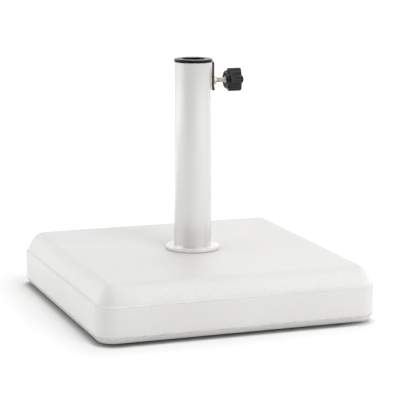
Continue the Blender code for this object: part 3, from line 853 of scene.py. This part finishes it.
LOBES = 5
LOBE_OUT, LOBE_R = 13.4 * MM, 5.8 * MM  # middle and radius of each lobe
WAIST_R = 14 * MM
KNOB_PHASE = radians(-95)
STAR_BEHIND = 2.3 * MM  # the star starts this far past the collar's face
POCKETS = 10
RIB_HALF = 0.8 * MM


def star_outline():
    """Round lobes joined by round hollows that touch them smoothly."""
    between = pi / LOBES
    slope = LOBE_OUT * cos(between)
    hollow_r = LOBE_R**2 - LOBE_OUT**2 - WAIST_R**2 + 2 * slope * WAIST_R
    hollow_r /= 2 * (WAIST_R - slope - LOBE_R)
    hollow_out = WAIST_R + hollow_r
    touch = atan2(hollow_out * sin(between), hollow_out * cos(between) - LOBE_OUT)
    swing = touch - between
    points = []
    for k in range(LOBES):
        middle = KNOB_PHASE + 2 * pi * k / LOBES
        lobe = (LOBE_OUT * cos(middle), LOBE_OUT * sin(middle))
        points += arc(lobe, 18, LOBE_R, middle - touch, middle + touch)
        valley = middle + between
        hollow = (hollow_out * cos(valley), hollow_out * sin(valley))
        points += arc(hollow, 12, hollow_r, valley + pi + swing, valley + pi - swing)[1:-1]
    return points


def make_star():
    """The star, with seats for the cap and the screw's head."""
    low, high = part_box("star_knob")
    cap_low, cap_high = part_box("knob_cap")
    star_low = low.x + STAR_BEHIND
    edge = 1.6 * MM
    turns = [pi / 2 * k / 6 for k in range(7)]
    levels = [(star_low + edge * (1 - sin(t)), edge * (1 - cos(t))) for t in reversed(turns)]
    levels += [(high.x - edge * (1 - sin(t)), edge * (1 - cos(t))) for t in turns]
    levels += [(high.x, 4.0 * MM)]
    outline = star_outline()
    bm = bmesh.new()
    rings = []
    for z, inset in levels:
        points = [(x * (1 - inset / hypot(x, y)), y * (1 - inset / hypot(x, y))) for x, y in outline]
        rings.append(add_ring(bm, points, z))
    bridge(bm, rings, close_ends=True)
    star = object_of("knob_star", along_screw(bm), LOOKS["black_plastic"])
    seat = drill(cap_high.y + GAP, cap_low.x - GAP, high.x + PAST, 64)
    hexagon = circle(13.6 * MM / 2 / cos(pi / 6), 6)
    pocket = along_screw(prism(hexagon, high.x - 8.6 * MM, high.x + PAST))
    bore = drill(SCREW_CLEARANCE_R, low.x - PAST, high.x + PAST, 48)
    cut(star, seat, pocket, bore)
    sharpen(star)
    place(star, "knob", "black_plastic", "star_knob")


def make_collar():
    """A hub, an outer wall and ribs between them, open towards the clip."""
    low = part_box("star_knob")[0]
    outer = 14.5 * MM
    edge, small = 0.6 * MM, 0.4 * MM
    back = low.x + STAR_BEHIND + 0.6 * MM
    profile = [(SCREW_CLEARANCE_R, low.x), (outer - edge, low.x)]
    profile += arc((outer - edge, low.x + edge), 4, edge, -pi / 2, 0)[1:]
    profile += [(outer, back - small), (outer - small, back), (SCREW_CLEARANCE_R, back)]
    bm = along_screw(turned(profile, 120))
    collar = object_of("knob_collar", bm, LOOKS["black_plastic"])
    step = 2 * pi / POCKETS
    pockets = []
    for k in range(POCKETS):
        middle = KNOB_PHASE + k * step
        shape = []
        for radius, way in ((6.6 * MM, -1), (11.5 * MM, 1)):
            half = way * (step / 2 - RIB_HALF / radius)
            shape += arc((0, 0), 6, radius, middle - half, middle + half)
        pockets.append(along_screw(prism(shape, low.x - 3 * MM, back - 0.6 * MM)))
    cut(collar, *pockets)
    bevel(collar, 0.18 * MM)
    place(collar, "knob", "black_plastic")


def make_cap():
    low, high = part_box("knob_cap")
    outer, edge, dish = high.y, 0.7 * MM, 0.3 * MM
    profile = [(0, low.x), (outer, low.x)]
    profile += arc((outer - edge, high.x - edge), 5, edge, 0, pi / 2)
    profile += [(outer + GAP - 3 * MM, high.x), (outer + GAP - 3.6 * MM, high.x - dish)]
    profile += [(0, high.x - dish)]
    lid = object_of("knob_lid", along_screw(turned(profile, 72)), LOOKS["black_plastic"])
    place(lid, "knob", "black_plastic", "knob_cap")


# ---------------------------------------------------------------- floor, lights and camera

# Softboxes: azimuth (0 in front, 90 at the right), elevation, width, height and power
LIGHTS = {
    "low_left_back": (-122, 7, 1.4, 0.6, 11.5),
    "low_left": (-92, 7, 1.4, 0.6, 12.0),
    "low_right": (90, 7, 1.4, 0.6, 6.0),
    "low_right_back": (120, 7, 1.4, 0.6, 3.0),
    "front": (18, 18, 1.3, 1.3, 11.5),
    "right_front": (45, 18, 1.3, 1.3, 14.0),
    "high_back": (140, 50, 1.6, 1.6, 11.0),
    "key_front": (20, 60, 0.7, 0.7, 13.0),
    "key_right": (100, 60, 0.7, 0.7, 2.5),
    "key_top": (0, 90, 0.8, 0.8, 23.0),
}
LIGHT_DISTANCE = 3.0
LIGHT_AIM = Vector((0, 0, 0.15))
SKY, BACK_WALL = 0.36, 1.0
GLOW_NEAR, GLOW_BACK = 0.1, 0.47
FLOOR_HALF = 30

# The camera stands left of the front, and looks slightly down and past the axis. Degrees and metres.
CAMERA_TURN, CAMERA_YAW = -19.992, -0.253
CAMERA_TILT, CAMERA_ROLL = 10.628, 0.254
CAMERA_DISTANCE = 2.61855
CAMERA_OVER_BLOCK = 0.654767  # over the block's underside
SENSOR_WIDTH, FOCAL_LENGTH = 36, 149.3625


def distance_from_block(look):
    """Distance from the block's rounded outline, seen from above."""
    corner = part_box("concrete_block")[1].x - BLOCK_CORNER_R
    vector = look.where
    for operation, operand in (("ABSOLUTE", 0), ("SUBTRACT", corner), ("MAXIMUM", 0)):
        node = look.add("ShaderNodeVectorMath", operation=operation)
        look.feed(node.inputs[0], vector)
        node.inputs[1].default_value = (operand, operand, 0)
        vector = node.outputs["Vector"]
    length = look.add("ShaderNodeVectorMath", operation="LENGTH")
    look.feed(length.inputs[0], vector)
    return look.math("SUBTRACT", length.outputs["Value"], BLOCK_CORNER_R)


def make_floor():
    """A white floor that glows a little near the block, and more behind it."""
    look = Look("studio_floor", (0.98, 0.98, 0.98), 0.9)
    outside = distance_from_block(look)
    near = look.span(outside, 15 * MM, 105 * MM, 0, GLOW_NEAR, True)
    behind = look.span(look.axis("Y"), 0.6, 1.1, 0, GLOW_BACK, True)
    look.set("Emission Color", (1, 1, 1, 1))
    look.drive("Emission Strength", look.math("ADD", near, behind))

    # Darker under the block and close round it, which deepens the shadow where the two meet.
    contact = look.span(outside, -4 * MM, 8 * MM, 0.6, 0, True)
    less_at_right = look.span(look.axis("X"), 0.15, 0.22, 1, 0.2, True)
    less_at_left = look.span(look.axis("X"), -0.24, -0.2, 0.45, 1, True)
    contact = look.times(contact, less_at_right, less_at_left)
    white = look.blend(look.noise(3, 2, 0.5), (0.975, 0.975, 0.975), (0.985, 0.985, 0.985))
    look.drive("Base Color", look.blend(contact, white, (0, 0, 0)))

    bm = bmesh.new()
    corners = [(-1, -1), (1, -1), (1, 1), (-1, 1)]
    bm.faces.new(add_ring(bm, scaled(corners, FLOOR_HALF), 0))
    object_of("floor", bm, look.material, SHARP_FLAT)


def make_world():
    """An even sky, and a brighter wall at the back that stands on the horizon."""
    world = bpy.data.worlds.new("studio")
    world.use_nodes = True
    tree = world.node_tree

    def add(kind, *values, **settings):
        made = tree.nodes.new(kind)
        for key, value in settings.items():
            setattr(made, key, value)
        for socket, value in zip(made.inputs, values):
            if isinstance(value, bpy.types.NodeSocket):
                tree.links.new(value, socket)
            else:
                socket.default_value = value
        return made.outputs[0]

    way = tree.nodes.new("ShaderNodeSeparateXYZ")
    tree.links.new(tree.nodes.new("ShaderNodeTexCoord").outputs["Generated"], way.inputs[0])
    behind = add("ShaderNodeMapRange", way.outputs["Y"], 0.4, 0.55, 0.0, BACK_WALL, clamp=True)
    low = add("ShaderNodeMapRange", way.outputs["Z"], 0.3, 0.5, 1.0, 0.0, clamp=True)
    wall = add("ShaderNodeMath", behind, low, operation="MULTIPLY")
    total = add("ShaderNodeMath", wall, SKY, operation="ADD")
    background = tree.nodes["Background"]
    background.inputs["Color"].default_value = (1, 1, 1, 1)
    tree.links.new(total, background.inputs["Strength"])
    bpy.context.scene.world = world


def make_lights():
    for name, (azimuth, elevation, width, height, power) in LIGHTS.items():
        a, e = radians(azimuth), radians(elevation)
        data = bpy.data.lights.new(name, "AREA")
        data.shape = "RECTANGLE"
        data.size = width
        data.size_y = height
        data.energy = power
        light = bpy.data.objects.new(name, data)
        way = Vector((sin(a) * cos(e), -cos(a) * cos(e), sin(e)))
        light.location = LIGHT_AIM + LIGHT_DISTANCE * way
        light.rotation_euler = (LIGHT_AIM - light.location).to_track_quat("-Z", "Y").to_euler()
        light.visible_camera = False
        bpy.context.scene.collection.objects.link(light)


def make_camera():
    turn, tilt, roll = radians(CAMERA_TURN), radians(CAMERA_TILT), radians(CAMERA_ROLL)
    facing = turn + radians(CAMERA_YAW)
    forward = Vector((-sin(facing) * cos(tilt), cos(facing) * cos(tilt), -sin(tilt)))
    right = forward.cross(Vector((0, 0, 1))).normalized()
    down = forward.cross(right)
    side = right * cos(roll) - down * sin(roll)
    up = -(right * sin(roll) + down * cos(roll))
    height = CAMERA_OVER_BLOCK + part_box("concrete_block")[0].z
    position = Vector((CAMERA_DISTANCE * sin(turn), -CAMERA_DISTANCE * cos(turn), height))
    data = bpy.data.cameras.new("camera")
    data.sensor_width = SENSOR_WIDTH
    data.lens = FOCAL_LENGTH
    camera = bpy.data.objects.new("camera", data)
    axes = Matrix((side, up, -forward)).transposed().to_4x4()
    camera.matrix_world = Matrix.Translation(position) @ axes
    bpy.context.scene.collection.objects.link(camera)
    bpy.context.scene.camera = camera


# ---------------------------------------------------------------- all together


def dress_cad_nodes():
    """The CAD nodes that stay get a procedural material in place of the plain one."""
    slots = {row["node"]: row["material_slot"] for row in frame["record"]["subparts"]}
    for name, obj in frame["nodes"].items():
        for slot in obj.material_slots:
            slot.material = LOOKS[slots[name]]


make_camera()
make_floor()
make_world()
make_lights()
bpy.context.scene.view_settings.view_transform = "Standard"

dress_cad_nodes()
make_block()
make_plate()
make_tube()
make_outer_reducer()
make_inner_reducer()
make_clip()
make_clamp_nut()
make_screw()
make_star()
make_collar()
make_cap()
